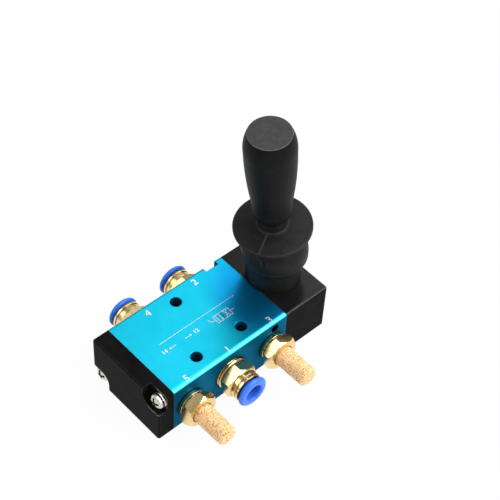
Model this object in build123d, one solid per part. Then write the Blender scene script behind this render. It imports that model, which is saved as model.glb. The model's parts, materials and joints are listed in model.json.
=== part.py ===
from build123d import *
import math
import os

# Hand lever air valve: a five-port, two-position spool valve in an anodised aluminium body.
# Millimetres. +X runs along the spool towards the lever, +Y from the supply side to the outlet
# side, +Z up. The origin is the centre of the valve body's underside.

# Valve body
body_length = 51.0
body_width = 35.0
body_height = 21.0
body_edge_radius = 0.9

# Spool bore and the annular chambers that the ports open into
bore_radius = 4.5
chamber_depth = 0.7
chamber_width = 4.0
port_drilling_radius = 1.7

# Ports: supply and two exhausts on the front, two outlets on the back
exhaust_port_x = 18.5
outlet_port_x = 11.5
supply_port_radius = 6.4
exhaust_port_radius = 4.8
supply_port_depth = 9.5
exhaust_port_depth = 8.5

# Vertical mounting holes in a triangle
mounting_hole_radius = 2.15
front_hole_half_pitch = 10.1
front_hole_y = -10.9
rear_hole_y = 11.7

# Manifold bolt holes that run from front to back at two opposite corners
manifold_hole_radius = 1.6
manifold_hole_end_inset = 5.5
manifold_hole_inset = 3.0
manifold_recess_width = 5.6
manifold_recess_depth = 2.2

# End cap with two notched corners
cap_length = 6.6
cap_edge_chamfer = 0.5
notch_width = 8.3
notch_height = 7.3
notch_corner_radius = 4.0
cap_flange = 3.2
cap_recess_depth = 2.4

# M3 pan head screws with spring washers
screw_radius = 1.5
screw_hole_radius = 1.7
cap_screw_inset_y = 2.9
cap_screw_inset_z = 3.2
housing_screw_inset_y = 3.8
housing_screw_inset_z = 4.1
screw_head_radius = 2.75
screw_head_height = 2.3
screw_head_round = 0.85
screw_cross_width = 0.7
screw_cross_length = 3.2
screw_cross_depth = 0.9
washer_radius = 2.85
washer_hole_radius = 1.65
washer_thickness = 0.7
washer_split = 0.5
tapped_wall = 0.3
counterbore_radius = 3.2

# Lever housing and its turret
housing_length = 19.7
turret_radius = 8.3
turret_height = 7.6
turret_bore_radius = 4.5
housing_edge_chamfer = 0.5
cavity_radius = 4.7
cavity_end_wall = 3.2

# Face seals between the body and its two ends
face_seal_inner_radius = 5.6
face_seal_width = 1.2
face_seal_depth = 0.9

# Spool
spool_clearance = 0.08
spool_core_radius = 2.6
spool_land_width = 2.2
spool_end_land_width = 2.0
seal_groove_width = 1.3
seal_groove_depth = 1.3
seal_running_gap = 0.04
seal_side_gap = 0.05
control_seal_offset = 1.6
drive_stem_radius = 4.0
drive_slot_clearance = 0.08
drive_end_wall = 2.0
drive_slot_floor = 0.3

# Lever: its pivot above the body's top, the ball that drives the spool and the shank
pivot_rise = 3.9
rest_tilt = 6.0
drive_ball_radius = 2.5
lower_shank_radius = 1.9
pivot_boss_radius = 3.9
upper_shank_radius = 3.0
shank_flat_half_width = 3.4
pivot_pin_radius = 1.5
pin_clearance = 0.05
pin_recess = 0.2

# Handle knob: its base stands above the boot's neck, and each rise is measured from the place before
knob_neck_gap = 1.2
knob_base_radius = 4.9
knob_heel_rise = 2.2
knob_heel_radius = 6.4
knob_waist_rise = 2.2
knob_waist_radius = 6.85
knob_hollow_rise = 5.7
knob_swell_rise = 22.8
knob_crown_radius = 8.88
knob_shoulder_rise = 5.0
knob_shoulder_radius = 8.5
knob_top_rise = 3.2
knob_top_radius = 7.4
knob_top_edge_radius = 0.5
knob_socket_depth = 26.0
shank_socket_gap = 0.05

# Rubber boot: heights are measured from the base, before the lever's tilt bends it
boot_wall = 1.5
boot_base_radius = 9.9
boot_bulge_radius = 11.8
boot_bulge_height = 12.6
boot_waist_radius = 9.6
boot_waist_height = 20.0
boot_brim_radius = 13.85
boot_brim_height = 26.6
boot_brim_thickness = 1.4
boot_ring_rise = 0.8
boot_ring_radius = 5.4
boot_ring_thickness = 0.6
boot_neck_radius = 5.0
boot_neck_length = 2.3
boot_seat_gap = 0.1
boot_shank_gap = 0.1

# Detent: a sprung ball that drops into one of two grooves on the spool's drive stem
detent_x_from_body = 4.0
detent_ball_radius = 1.5
detent_bore_gap = 0.1
detent_crest_gap = 0.05
detent_drop = 0.35
detent_groove_half_angle = 60.0
detent_plug_radius = 2.0
detent_plug_length = 3.5
detent_plug_inset = 0.3
detent_hex_radius = 0.85
detent_hex_depth = 1.6
spring_wire_radius = 0.2
spring_turns = 6

# Push-in tube fittings: lengths are measured outwards from the hexagon's seat
front_fitting_stand_off = 1.6
rear_fitting_stand_off = 0.1
fitting_turns = {"p": 36, "a": 15, "b": 25}
fitting_thread_gap = 0.1
fitting_thread_length = 8.0
fitting_hex_across_flats = 12.0
fitting_hex_length = 4.4
fitting_hex_chamfer = 0.7
fitting_neck_radius = 5.6
fitting_groove_position = 6.3
fitting_groove_width = 0.4
fitting_groove_depth = 0.35
fitting_length = 7.6
fitting_socket_radius = 4.5
fitting_socket_floor = 0.6
tube_seat_radius = 3.1
tube_seat_depth = 2.6
fitting_flow_radius = 2.1

# Release collar, grab ring and tube seal inside a fitting
collar_travel = 0.6
collar_stop_gap = 0.1
collar_flange_radius = 6.0
collar_flange_thickness = 2.0
collar_flange_round = 0.7
collar_sleeve_radius = 4.2
collar_sleeve_length = 3.9
collar_bore_radius = 3.15
collar_slot_width = 0.7
collar_slot_length = 2.6
grab_ring_position = 2.7
grab_ring_outer_radius = 4.4
grab_ring_inner_radius = 3.14
grab_ring_thickness = 0.3
grab_ring_teeth = 8
grab_ring_slot_width = 0.5
grab_ring_slot_length = 0.8
tube_seal_inner_radius = 3.12
tube_seal_thickness = 1.5
tube_seal_gap = 0.05

# Sintered bronze silencers: lengths are measured outwards from the body's face
silencer_collar_radius = 5.3
silencer_collar_length = 1.6
silencer_undercut_radius = 4.7
silencer_undercut_length = 0.35
silencer_hex_across_flats = 12.0
silencer_turns = {"r": 18, "s": 50}
silencer_hex_length = 3.9
silencer_hex_chamfer = 0.9
silencer_thread_length = 7.5
silencer_flow_radius = 2.6
silencer_socket_depth = 2.0
silencer_element_radius = 3.9
silencer_tip_radius = 3.7
silencer_length = 19.5
silencer_tip_round = 1.2
silencer_element_wall = 1.3

# Derived places
spool_height = body_height / 2
half_length = body_length / 2
half_width = body_width / 2
pivot_height = body_height + pivot_rise
lever_x = half_length + housing_length / 2
drive_arm = pivot_height - spool_height
spool_travel = 2 * drive_arm * math.sin(math.radians(rest_tilt))
spool_rest_shift = spool_travel / 2
chamber_radius = bore_radius + chamber_depth
land_radius = bore_radius - spool_clearance
manifold_hole_x = half_length - manifold_hole_end_inset
cap_screw_engagement = manifold_hole_end_inset - manifold_recess_width / 2 - tapped_wall
housing_screw_engagement = manifold_hole_end_inset - manifold_hole_radius - tapped_wall
front_ports = {"r": -exhaust_port_x, "p": 0.0, "s": exhaust_port_x}
back_ports = {"a": -outlet_port_x, "b": outlet_port_x}
chamber_places = sorted([*front_ports.values(), *back_ports.values()])
detent_x = half_length + detent_x_from_body
boot_bend_start = turret_height + boot_seat_gap
boot_ring_top = boot_brim_height + boot_ring_rise + boot_ring_thickness
boot_neck_top = boot_ring_top + boot_neck_length
knob_base_height = boot_neck_top + knob_neck_gap - pivot_rise


def rod_x(radius, start, end, y=0.0, z=0.0):
    """Cylinder along X from start to end."""
    upright = Cylinder(radius, end - start, align=(Align.CENTER, Align.CENTER, Align.MIN))
    return Pos(start, y, z) * Rot(0, 90, 0) * upright


def rod_y(radius, start, end, x=0.0, z=0.0):
    """Cylinder along Y from start to end."""
    upright = Cylinder(radius, end - start, align=(Align.CENTER, Align.CENTER, Align.MIN))
    return Pos(x, start, z) * Rot(-90, 0, 0) * upright


def rod_z(radius, start, end, x=0.0, y=0.0):
    """Cylinder along Z from start to end."""
    upright = Cylinder(radius, end - start, align=(Align.CENTER, Align.CENTER, Align.MIN))
    return Pos(x, y, start) * upright


def turned(points):
    """Solid of revolution about Z from (radius, height) corners."""
    outline = Polyline(*[(radius, 0, height) for radius, height in points], close=True)
    return revolve(make_face(outline), Axis.Z)


def tube_x(outer, inner, start, end, y=0.0, z=0.0):
    """Ring or tube along X."""
    return rod_x(outer, start, end, y, z) - rod_x(inner, start, end, y, z)


def chamfered_hexagon(across_flats, start, length, chamfer_height, turn):
    """Hexagon along Z whose corners a cone turns off at each end; turn is a corner's angle."""
    corner_radius = across_flats / math.sqrt(3)
    flat = across_flats / 2
    outer = 2 * corner_radius - flat
    drop = 2 * chamfer_height
    end = start + length
    prism = Rot(0, 0, turn) * extrude(RegularPolygon(corner_radius, 6), length)
    upward = [(0, start), (flat, start), (outer, start + drop), (outer, end + drop), (0, end + drop)]
    downward = [(0, end), (flat, end), (outer, end - drop), (outer, start - drop), (0, start - drop)]
    return Pos(0, 0, start) * prism & turned(upward) & turned(downward)


def toward_front(x, solid):
    """Puts a solid made along +Z at the body's front face, pointing out of it."""
    return Pos(x, -half_width, spool_height) * Rot(90, 0, 0) * solid


def toward_back(x, solid):
    """Puts a solid made along +Z at the body's back face, pointing out of it."""
    return Pos(x, half_width, spool_height) * Rot(-90, 0, 0) * solid


def corner_places(inset_y, inset_z):
    """Top front and bottom back screw places, as (y, z, side)."""
    y = half_width - inset_y
    return [(-y, body_height - inset_z, 1), (y, inset_z, -1)]


def cap_screw_places():
    """Where the end cap's two screws stand."""
    return corner_places(cap_screw_inset_y, cap_screw_inset_z)


def housing_screw_places():
    """Where the lever housing's two screws stand."""
    return corner_places(housing_screw_inset_y, housing_screw_inset_z)


def make_valve_body():
    block = Pos(0, 0, spool_height) * Box(body_length, body_width, body_height)
    block = fillet(block.edges().filter_by(Axis.X), body_edge_radius)
    block -= rod_x(bore_radius, -half_length, half_length, z=spool_height)
    for place in chamber_places:
        start = place - chamber_width / 2
        block -= rod_x(chamber_radius, start, start + chamber_width, z=spool_height)
    for name, place in front_ports.items():
        is_supply = name == "p"
        radius = supply_port_radius if is_supply else exhaust_port_radius
        depth = supply_port_depth if is_supply else exhaust_port_depth
        block -= rod_y(radius, -half_width, -half_width + depth, place, spool_height)
        block -= rod_y(port_drilling_radius, -half_width, 0, place, spool_height)
    for place in back_ports.values():
        start = half_width - supply_port_depth
        block -= rod_y(supply_port_radius, start, half_width, place, spool_height)
        block -= rod_y(port_drilling_radius, 0, half_width, place, spool_height)
    for x, y in mounting_places():
        block -= rod_z(mounting_hole_radius, 0, body_height, x, y)
    for side in (-1, 1):
        x = side * manifold_hole_x
        z = manifold_height(side)
        block -= rod_y(manifold_hole_radius, -half_width, half_width, x, z)
        block -= manifold_recess(side)
    for side in (-1, 1):
        face = side * half_length
        inner = face - side * face_seal_depth
        start, end = min(face, inner), max(face, inner)
        outer_radius = face_seal_inner_radius + face_seal_width
        block -= tube_x(outer_radius, face_seal_inner_radius, start, end, z=spool_height)
    for y, z, _ in cap_screw_places():
        block -= rod_x(screw_radius, -half_length, -half_length + cap_screw_engagement, y, z)
    for y, z, _ in housing_screw_places():
        block -= rod_x(screw_radius, half_length - housing_screw_engagement, half_length, y, z)
    return block


def mounting_places():
    """The three vertical mounting holes."""
    pitch = front_hole_half_pitch
    return [(-pitch, front_hole_y), (pitch, front_hole_y), (0, rear_hole_y)]


def manifold_height(side):
    """The lever end's hole is near the top, the cap end's near the underside."""
    if side > 0:
        return body_height - manifold_hole_inset
    return manifold_hole_inset


def manifold_recess(side):
    """Screw head recess in the back face, open at the nearer long edge."""
    x = side * manifold_hole_x
    z = manifold_height(side)
    start = half_width - manifold_recess_depth
    seat = rod_y(manifold_recess_width / 2, start, half_width, x, z)
    reach = manifold_hole_inset
    slot = Box(manifold_recess_width, manifold_recess_depth, reach)
    return seat + Pos(x, start + manifold_recess_depth / 2, z + side * reach / 2) * slot


def make_end_cap():
    middle = -half_length - cap_length / 2
    block = Pos(middle, 0, spool_height) * Box(cap_length, body_width, body_height)
    block = fillet(block.edges().filter_by(Axis.X), body_edge_radius)
    block = chamfer(block.faces().sort_by(Axis.X)[0].edges(), cap_edge_chamfer)
    outer_face = -half_length - cap_length
    for y, z, side in cap_screw_places():
        depth = cap_length - cap_flange
        corner_y = -side * half_width
        corner_z = body_height if side > 0 else 0
        notch = Box(depth, 2 * notch_width, 2 * notch_height)
        notch = fillet(notch.edges().filter_by(Axis.X), notch_corner_radius)
        block -= Pos(outer_face + depth / 2, corner_y, corner_z) * notch
        block -= rod_x(screw_hole_radius, outer_face, -half_length, y, z)
    recess_start = -half_length - cap_recess_depth
    block -= rod_x(bore_radius, recess_start, -half_length, z=spool_height)
    return block


def make_face_seal(side):
    """Square ring in the groove around the bore."""
    face = side * half_length
    inner = face - side * (face_seal_depth - seal_side_gap)
    start, end = min(face, inner), max(face, inner)
    outer_radius = face_seal_inner_radius + face_seal_width - seal_side_gap
    inner_radius = face_seal_inner_radius + seal_side_gap
    ring = tube_x(outer_radius, inner_radius, start, end, z=spool_height)
    return ring


def make_screw(length):
    """Pan head screw along +X with its head's seat at the origin and its head towards -X."""
    head = rod_x(screw_head_radius, -screw_head_height, 0)
    head = fillet(head.edges().sort_by(Axis.X)[0], screw_head_round)
    for angle in (0, 90):
        bar = Box(screw_cross_depth * 2, screw_cross_length, screw_cross_width)
        head -= Pos(-screw_head_height, 0, 0) * Rot(angle, 0, 0) * bar
    return head + rod_x(screw_radius - seal_side_gap, 0, length)


def make_spring_washer():
    """Split spring washer with its seat at the origin, towards -X."""
    ring = tube_x(washer_radius, washer_hole_radius, -washer_thickness, 0)
    gap = Box(washer_thickness, washer_radius, washer_split)
    return ring - Pos(-washer_thickness / 2, washer_radius / 2, 0) * gap


def make_cap_screws():
    seat = -half_length - cap_flange - washer_thickness
    length = cap_flange + washer_thickness + cap_screw_engagement - tapped_wall
    return Compound([Pos(seat, y, z) * make_screw(length) for y, z, _ in cap_screw_places()])


def make_cap_washers():
    seat = -half_length - cap_flange
    return Compound([Pos(seat, y, z) * make_spring_washer() for y, z, _ in cap_screw_places()])


def housing_screw_seat():
    """X of the counterbore floors in the lever housing's end face."""
    sunk = screw_head_height + washer_thickness + tapped_wall
    return half_length + housing_length - sunk


def make_housing_screws():
    length = housing_screw_seat() + washer_thickness - half_length
    length += housing_screw_engagement - tapped_wall
    seat = housing_screw_seat() + washer_thickness
    turn = Rot(0, 180, 0)
    return Compound([Pos(seat, y, z) * turn * make_screw(length) for y, z, _ in housing_screw_places()])


def make_housing_washers():
    seat = housing_screw_seat()
    turn = Rot(0, 180, 0)
    return Compound([Pos(seat, y, z) * turn * make_spring_washer() for y, z, _ in housing_screw_places()])


def make_lever_housing():
    end = half_length + housing_length
    block = Pos(lever_x, 0, spool_height) * Box(housing_length, body_width, body_height)
    block = fillet(block.edges().filter_by(Axis.X), body_edge_radius)
    block = chamfer(block.faces().sort_by(Axis.X)[-1].edges(), housing_edge_chamfer)
    block += rod_z(turret_radius, spool_height, body_height + turret_height, lever_x)
    block -= rod_x(cavity_radius, half_length, end - cavity_end_wall, z=spool_height)
    block -= rod_z(turret_bore_radius, spool_height, body_height + turret_height, lever_x)
    block -= rod_y(pivot_pin_radius, -turret_radius, turret_radius, lever_x, pivot_height)
    for y, z, _ in housing_screw_places():
        block -= rod_x(screw_hole_radius, half_length, end, y, z)
        block -= rod_x(counterbore_radius, housing_screw_seat(), end, y, z)
    block -= rod_y(detent_ball_radius + detent_bore_gap, 0, half_width, detent_x, spool_height)
    block -= rod_y(detent_plug_radius, detent_plug_start(), half_width, detent_x, spool_height)
    return block


def make_pivot_pin():
    reach = math.sqrt(turret_radius ** 2 - pivot_pin_radius ** 2) - pin_recess
    return rod_y(pivot_pin_radius, -reach, reach, lever_x, pivot_height)


def detent_plug_start():
    """Y of the plug's inner end."""
    return half_width - detent_plug_inset - detent_plug_length


def make_detent_ball():
    centre = drive_stem_radius + detent_crest_gap + detent_ball_radius
    return Pos(detent_x, centre, spool_height) * Sphere(detent_ball_radius)


def make_detent_plug():
    start = detent_plug_start()
    end = start + detent_plug_length
    plug = rod_y(detent_plug_radius - seal_side_gap, start, end, detent_x, spool_height)
    key = extrude(RegularPolygon(detent_hex_radius, 6), detent_hex_depth)
    return plug - Pos(detent_x, end, spool_height) * Rot(90, 0, 0) * key


def make_detent_spring():
    ball_back = drive_stem_radius + detent_crest_gap + 2 * detent_ball_radius
    start = ball_back + spring_wire_radius
    end = detent_plug_start() - spring_wire_radius
    coil_radius = detent_ball_radius - 2 * spring_wire_radius
    pitch = (end - start) / spring_turns
    path = Helix(pitch, end - start, coil_radius)
    section = Plane(path @ 0, z_dir=path % 0) * Circle(spring_wire_radius)
    coil = sweep(section, path, is_frenet=True)
    return Pos(detent_x, start, spool_height) * Rot(-90, 0, 0) * coil


def seal_places():
    """Spool seals at the middle of the stroke: two per outlet port and one at each end."""
    places = []
    for port in back_ports.values():
        places += [port - control_seal_offset, port + control_seal_offset]
    end_place = (exhaust_port_x + chamber_width / 2 + half_length) / 2
    return sorted([*places, -end_place, end_place])


def make_spool():
    """Lands that carry the seals, a thin core between them and a slotted drive end."""
    places = seal_places()
    first = places[0] - spool_end_land_width / 2
    last = places[-1] + spool_end_land_width / 2
    slot_half = drive_ball_radius + drive_slot_clearance
    stem_end = lever_x + slot_half + drive_end_wall
    spool = rod_x(spool_core_radius, first, last)
    spool += rod_x(drive_stem_radius, last, stem_end)
    for place in places:
        half = spool_land_width / 2
        spool += rod_x(land_radius, max(first, place - half), min(last, place + half))
    for place in places:
        half = seal_groove_width / 2
        spool -= tube_x(bore_radius, bore_radius - seal_groove_depth, place - half, place + half)
    slot_floor = -drive_ball_radius - drive_slot_floor
    slot_height = drive_stem_radius - slot_floor
    slot = Box(2 * slot_half, 2 * drive_stem_radius, slot_height)
    spool -= Pos(lever_x, 0, slot_floor + slot_height / 2) * slot
    for side in (-1, 1):
        centre = detent_x + side * spool_rest_shift
        spool -= detent_groove(centre)
    return Pos(spool_rest_shift, 0, spool_height) * spool


def detent_groove(centre):
    """V groove round the drive stem, just clear of the ball when it has dropped in."""
    half_angle = math.radians(detent_groove_half_angle)
    ball_centre = drive_stem_radius + detent_crest_gap + detent_ball_radius - detent_drop
    bottom = ball_centre - (detent_ball_radius + detent_crest_gap) / math.sin(half_angle)
    depth = drive_stem_radius - bottom
    half = depth * math.tan(half_angle)
    outline = Polyline(
        (centre - half, 0, drive_stem_radius),
        (centre, 0, drive_stem_radius - depth),
        (centre + half, 0, drive_stem_radius),
        (centre + half, 0, drive_stem_radius + depth),
        (centre - half, 0, drive_stem_radius + depth),
        close=True,
    )
    return revolve(make_face(outline), Axis.X)


def make_spool_seals():
    outer = bore_radius - seal_running_gap
    inner = bore_radius - seal_groove_depth + seal_side_gap
    half = seal_groove_width / 2 - seal_side_gap
    rings = []
    for place in seal_places():
        x = place + spool_rest_shift
        ring = tube_x(outer, inner, x - half, x + half, z=spool_height)
        rings.append(ring)
    return Compound(rings)


def tilted(solid):
    """Turns a piece made upright at the pivot to the lever's rest position."""
    return Pos(lever_x, 0, pivot_height) * Rot(0, -rest_tilt, 0) * solid


def make_lever_rod():
    """Shank with a flattened pivot boss and the ball that drives the spool."""
    shank_top = knob_base_height + knob_socket_depth - shank_socket_gap
    rod = Pos(0, 0, -drive_arm) * Sphere(drive_ball_radius)
    rod += rod_z(lower_shank_radius, -drive_arm, 0)
    rod += Sphere(pivot_boss_radius)
    rod += rod_z(upper_shank_radius, 0, shank_top)
    width = 2 * shank_flat_half_width
    boss_size = 2 * pivot_boss_radius
    keep = Box(boss_size, width, drive_arm + shank_top + boss_size)
    rod &= Pos(0, 0, (shank_top - drive_arm) / 2) * keep
    rod -= rod_y(pivot_pin_radius + pin_clearance, -pivot_boss_radius, pivot_boss_radius)
    return tilted(rod)


def make_handle_knob():
    """Waisted knob with a flat crown and a blind socket for the shank."""
    heel_height = knob_base_height + knob_heel_rise
    waist_height = heel_height + knob_waist_rise
    turn_height = waist_height + knob_hollow_rise
    crown_height = turn_height + knob_swell_rise
    shoulder_height = crown_height + knob_shoulder_rise
    top_height = shoulder_height + knob_top_rise
    hollow_share = knob_hollow_rise / (knob_hollow_rise + knob_swell_rise)
    turn_radius = knob_waist_radius + (knob_crown_radius - knob_waist_radius) * hollow_share
    heel = ThreePointArc(
        (knob_base_radius, 0, knob_base_height),
        (knob_heel_radius, 0, heel_height),
        (knob_waist_radius, 0, waist_height),
    )
    hollow = TangentArc(heel @ 1, (turn_radius, 0, turn_height), tangent=(0, 0, 1))
    swell = TangentArc(hollow @ 1, (knob_crown_radius, 0, crown_height), tangent=hollow % 1)
    shoulder = ThreePointArc(
        swell @ 1,
        (knob_shoulder_radius, 0, shoulder_height),
        (knob_top_radius, 0, top_height),
    )
    middle = Polyline(shoulder @ 1, (0, 0, top_height), (0, 0, knob_base_height), heel @ 0)
    knob = revolve(make_face([heel, hollow, swell, shoulder, *middle.edges()]), Axis.Z)
    knob = fillet(knob.edges().sort_by(Axis.Z)[-1], knob_top_edge_radius)
    socket_radius = upper_shank_radius + shank_socket_gap
    knob -= rod_z(socket_radius, knob_base_height, knob_base_height + knob_socket_depth)
    return tilted(knob)


def bend_at(height):
    """Tilt of the boot at a height above its base: none at the turret, the lever's at the brim."""
    start = boot_bend_start
    end = boot_waist_height
    share = min(max((height - start) / (end - start), 0), 1)
    return -rest_tilt * share * share * (3 - 2 * share)


def ring_on_boot(radius, height):
    """Circle of the boot, turned about the lever's pivot."""
    rise = body_height + height - pivot_height
    place = Pos(lever_x, 0, pivot_height) * Rot(0, bend_at(height), 0) * Pos(0, 0, rise)
    return place * Circle(radius)


def boot_bend(profile, ruled=False):
    """Solid through the rings of a (radius, height) profile, smooth or straight between them."""
    return loft([ring_on_boot(radius, height) for radius, height in profile], ruled=ruled)


def boot_turned(points):
    """Part of the boot that tilts with the lever, from (radius, height above base) corners."""
    base = body_height - pivot_height
    return tilted(turned([(radius, height + base) for radius, height in points]))


def make_dust_boot():
    """Rubber boot: a skirt on the turret, a bulge, a wide brim and a ringed neck round the shank."""
    brim_low = boot_brim_height - boot_brim_thickness
    brim_root = brim_low - boot_brim_thickness
    outer = rod_z(boot_base_radius, body_height, body_height + boot_bend_start, lever_x)
    outer += boot_bend([
        (boot_base_radius, boot_bend_start),
        (boot_bulge_radius, boot_bulge_height),
        (boot_waist_radius, boot_waist_height),
    ])
    outer += boot_turned([
        (0, boot_waist_height),
        (boot_waist_radius, boot_waist_height),
        (boot_waist_radius, brim_root),
        (boot_brim_radius, brim_low),
        (boot_brim_radius, boot_brim_height),
        (boot_ring_radius, boot_brim_height + boot_ring_rise),
        (boot_ring_radius, boot_ring_top),
        (boot_neck_radius, boot_ring_top),
        (boot_neck_radius, boot_neck_top),
        (0, boot_neck_top),
    ])
    seat_radius = turret_radius + boot_seat_gap
    inner = rod_z(seat_radius, body_height, body_height + boot_bend_start, lever_x)
    inner += boot_bend([
        (seat_radius, boot_bend_start),
        (boot_bulge_radius - boot_wall, boot_bulge_height),
        (boot_waist_radius - boot_wall, boot_waist_height),
    ], ruled=True)
    shank_hole = upper_shank_radius + boot_shank_gap
    inner += boot_turned([
        (0, boot_waist_height),
        (boot_waist_radius - boot_wall, boot_waist_height),
        (boot_waist_radius - boot_wall, brim_root),
        (shank_hole, brim_low),
        (shank_hole, boot_neck_top),
        (0, boot_neck_top),
    ])
    return outer - inner


def make_fitting_body(stand_off, turn):
    """Brass push-in fitting along +Z, with Z = 0 at the body's face."""
    seat = stand_off
    end = seat + fitting_length
    groove = seat + fitting_groove_position
    floor = seat + fitting_socket_floor
    hex_end = seat + fitting_hex_length
    solid = rod_z(supply_port_radius - fitting_thread_gap, seat - fitting_thread_length, seat)
    flats = fitting_hex_across_flats
    solid += chamfered_hexagon(flats, seat, fitting_hex_length, fitting_hex_chamfer, turn)
    solid += rod_z(fitting_neck_radius, hex_end, end)
    ring_floor = fitting_neck_radius - fitting_groove_depth
    ring = rod_z(fitting_neck_radius, groove, groove + fitting_groove_width)
    solid -= ring - rod_z(ring_floor, groove, groove + fitting_groove_width)
    solid -= rod_z(fitting_socket_radius, floor, end)
    solid -= rod_z(tube_seat_radius, floor - tube_seat_depth, floor)
    solid -= rod_z(fitting_flow_radius, seat - fitting_thread_length, floor)
    return solid


def make_tube_seal(stand_off):
    """Rubber ring that grips the tube at the bottom of the socket."""
    low = stand_off + fitting_socket_floor + tube_seal_gap
    outer = fitting_socket_radius - tube_seal_gap
    ring = rod_z(outer, low, low + tube_seal_thickness)
    return ring - rod_z(tube_seal_inner_radius, low, low + tube_seal_thickness)


def make_grab_ring(stand_off):
    """Thin steel ring whose slots leave a row of teeth round the tube."""
    low = stand_off + grab_ring_position
    ring = rod_z(grab_ring_outer_radius, low, low + grab_ring_thickness)
    ring -= rod_z(grab_ring_inner_radius, low, low + grab_ring_thickness)
    slot_reach = grab_ring_inner_radius + grab_ring_slot_length
    slot = Box(slot_reach, grab_ring_slot_width, grab_ring_thickness)
    slot = Pos(slot_reach / 2, 0, low + grab_ring_thickness / 2) * slot
    for tooth in range(grab_ring_teeth):
        ring -= Rot(0, 0, 360 / grab_ring_teeth * tooth) * slot
    return ring


def make_release_collar(stand_off):
    """Plastic collar: pressing its flange frees the tube."""
    flange_low = stand_off + fitting_length + collar_travel + collar_stop_gap
    flange_top = flange_low + collar_flange_thickness
    low = flange_low - collar_sleeve_length
    collar = rod_z(collar_flange_radius, flange_low, flange_top)
    collar = fillet(collar.edges(), collar_flange_round)
    collar += rod_z(collar_sleeve_radius, low, flange_top)
    collar -= rod_z(collar_bore_radius, low, flange_top)
    for angle in (0, 90):
        slot = Box(2 * collar_flange_radius, collar_slot_width, collar_slot_length)
        collar -= Pos(0, 0, low + collar_slot_length / 2) * Rot(0, 0, angle) * slot
    return collar


def make_silencer_base(turn):
    """Brass base with a plain collar, an undercut and a hexagon."""
    hex_start = silencer_collar_length + silencer_undercut_length
    hex_end = hex_start + silencer_hex_length
    thread_radius = exhaust_port_radius - fitting_thread_gap
    base = rod_z(thread_radius, -silencer_thread_length, 0)
    base += rod_z(silencer_collar_radius, 0, silencer_collar_length)
    base += rod_z(silencer_undercut_radius, silencer_collar_length, hex_start)
    flats = silencer_hex_across_flats
    base += chamfered_hexagon(flats, hex_start, silencer_hex_length, silencer_hex_chamfer, turn)
    base -= rod_z(silencer_flow_radius, -silencer_thread_length, hex_end)
    socket_start = hex_end - silencer_socket_depth
    base -= rod_z(silencer_element_radius, socket_start, hex_end)
    return base


def make_silencer_element():
    """Hollow sintered plug, slightly tapered, with a rounded tip."""
    start = silencer_collar_length + silencer_undercut_length
    start += silencer_hex_length - silencer_socket_depth
    end = silencer_length
    plug = turned([
        (0, start),
        (silencer_element_radius, start),
        (silencer_element_radius, start + silencer_socket_depth),
        (silencer_tip_radius, end),
        (0, end),
    ])
    plug = fillet(plug.edges().sort_by(Axis.Z)[-1], silencer_tip_round)
    hollow_radius = silencer_tip_radius - silencer_element_wall
    return plug - rod_z(hollow_radius, start, end - silencer_element_wall)


def fitting_pieces():
    """The nodes of the three push-in fittings."""
    pieces = {}
    places = {
        "p": (front_ports["p"], front_fitting_stand_off, toward_front),
        "a": (back_ports["a"], rear_fitting_stand_off, toward_back),
        "b": (back_ports["b"], rear_fitting_stand_off, toward_back),
    }
    for name, (x, stand_off, place) in places.items():
        turn = fitting_turns[name]
        pieces[f"fitting_body_{name}"] = place(x, make_fitting_body(stand_off, turn))
        pieces[f"tube_seal_{name}"] = place(x, make_tube_seal(stand_off))
        pieces[f"grab_ring_{name}"] = place(x, make_grab_ring(stand_off))
        pieces[f"release_collar_{name}"] = place(x, make_release_collar(stand_off))
    return pieces


def silencer_pieces():
    """The nodes of the two exhaust silencers."""
    pieces = {}
    for name in ("r", "s"):
        x = front_ports[name]
        pieces[f"silencer_base_{name}"] = toward_front(x, make_silencer_base(silencer_turns[name]))
        pieces[f"silencer_element_{name}"] = toward_front(x, make_silencer_element())
    return pieces


def all_pieces():
    """Every node of the valve by name."""
    pieces = {
        "valve_body": make_valve_body(),
        "end_cap": make_end_cap(),
        "end_cap_seal": make_face_seal(-1),
        "end_cap_screws": make_cap_screws(),
        "end_cap_washers": make_cap_washers(),
        "lever_housing": make_lever_housing(),
        "housing_seal": make_face_seal(1),
        "housing_screws": make_housing_screws(),
        "housing_washers": make_housing_washers(),
        "pivot_pin": make_pivot_pin(),
        "detent_ball": make_detent_ball(),
        "detent_spring": make_detent_spring(),
        "detent_plug": make_detent_plug(),
        "spool": make_spool(),
        "spool_seals": make_spool_seals(),
        "lever_rod": make_lever_rod(),
        "handle_knob": make_handle_knob(),
        "dust_boot": make_dust_boot(),
    }
    pieces.update(fitting_pieces())
    pieces.update(silencer_pieces())
    return pieces


os.makedirs("parts", exist_ok=True)
for node, solid in all_pieces().items():
    export_step(solid, f"parts/{node}.step")
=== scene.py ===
import json
import math

import bmesh
import bpy
from mathutils import Matrix, Vector, noise


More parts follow.
